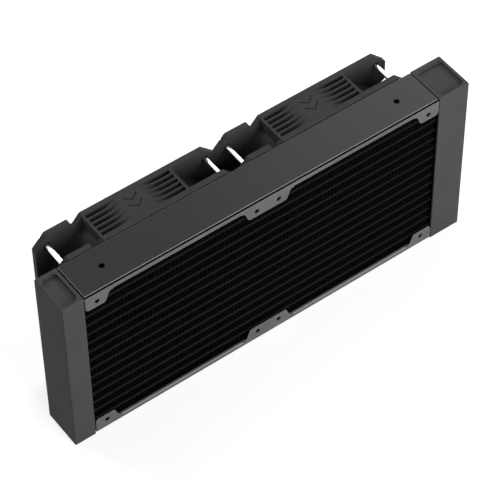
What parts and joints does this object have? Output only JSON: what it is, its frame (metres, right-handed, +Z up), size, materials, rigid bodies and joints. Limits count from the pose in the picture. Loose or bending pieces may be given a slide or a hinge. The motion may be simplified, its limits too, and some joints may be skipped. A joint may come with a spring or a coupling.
{
  "type": "liquid cooler radiator with fans",
  "caption": "Slim liquid cooling radiator with a folded-fin core between end tanks and square axial fans with vented walls screwed to its rear face.",
  "frame": {"origin": "centre of the base, at the middle of the bounding box's bottom face", "axes": "+Z up as it stands in the picture, +X along the radiator to the wide tank, +Y from the open front of the core to the fans"},
  "size_m": [0.2762, 0.0542, 0.12],
  "materials": {
    "painted_casing": "fine matt black powder paint",
    "painted_core": "matt black paint",
    "frame_plastic": "moulded, finely textured",
    "blade_plastic": "moulded, satin",
    "screw_steel": "bright plated",
    "bare_steel": "plain",
    "yoke_steel": "zinc plated",
    "ferrite": "sintered",
    "bronze": "sintered",
    "lamination_steel": "stamped",
    "copper_wire": "enamelled",
    "board_laminate": "solder mask"
  },
  "bodies": {
    "root": {"end_tank_left": "painted_casing", "end_tank_right": "painted_casing", "header_plate_left": "painted_core", "header_plate_right": "painted_core", "tank_baffle": "painted_core", "side_bracket_top": "painted_casing", "side_bracket_bottom": "painted_casing", "side_cover_top": "painted_casing", "side_cover_bottom": "painted_casing", "coolant_tube_01": "painted_core", "coolant_tube_02": "painted_core", "coolant_tube_03": "painted_core", "coolant_tube_04": "painted_core", "coolant_tube_05": "painted_core", "coolant_tube_06": "painted_core", "coolant_tube_07": "painted_core", "coolant_tube_08": "painted_core", "coolant_tube_09": "painted_core", "coolant_tube_10": "painted_core", "coolant_tube_11": "painted_core", "coolant_tube_12": "painted_core", "coolant_tube_13": "painted_core", "coolant_tube_14": "painted_core", "fin_strip_01": "painted_core", "fin_strip_02": "painted_core", "fin_strip_03": "painted_core", "fin_strip_04": "painted_core", "fin_strip_05": "painted_core", "fin_strip_06": "painted_core", "fin_strip_07": "painted_core", "fin_strip_08": "painted_core", "fin_strip_09": "painted_core", "fin_strip_10": "painted_core", "fin_strip_11": "painted_core", "fin_strip_12": "painted_core", "fin_strip_13": "painted_core", "fin_strip_14": "painted_core", "fin_strip_15": "painted_core", "fan_screws": "screw_steel", "left_fan_frame": "frame_plastic", "left_fan_bearing_sleeve": "bronze", "left_fan_stator_core": "lamination_steel", "left_fan_windings": "copper_wire", "left_fan_circuit_board": "board_laminate", "right_fan_frame": "frame_plastic", "right_fan_bearing_sleeve": "bronze", "right_fan_stator_core": "lamination_steel", "right_fan_windings": "copper_wire", "right_fan_circuit_board": "board_laminate"},
    "left_rotor": {"left_fan_impeller": "blade_plastic", "left_fan_rotor_yoke": "yoke_steel", "left_fan_magnet_ring": "ferrite", "left_fan_shaft": "bare_steel", "left_fan_retaining_clip": "bare_steel"},
    "right_rotor": {"right_fan_impeller": "blade_plastic", "right_fan_rotor_yoke": "yoke_steel", "right_fan_magnet_ring": "ferrite", "right_fan_shaft": "bare_steel", "right_fan_retaining_clip": "bare_steel"}
  },
  "joints": [
    {"name": "left_fan_spin", "type": "hinge", "parent": "root", "child": "left_rotor", "pos_m": [-0.06375, 0.0139, 0.06], "axis": [0, 1, 0], "continuous": true},
    {"name": "right_fan_spin", "type": "hinge", "parent": "root", "child": "right_rotor", "pos_m": [0.05625, 0.0139, 0.06], "axis": [0, 1, 0], "continuous": true}
  ]
}
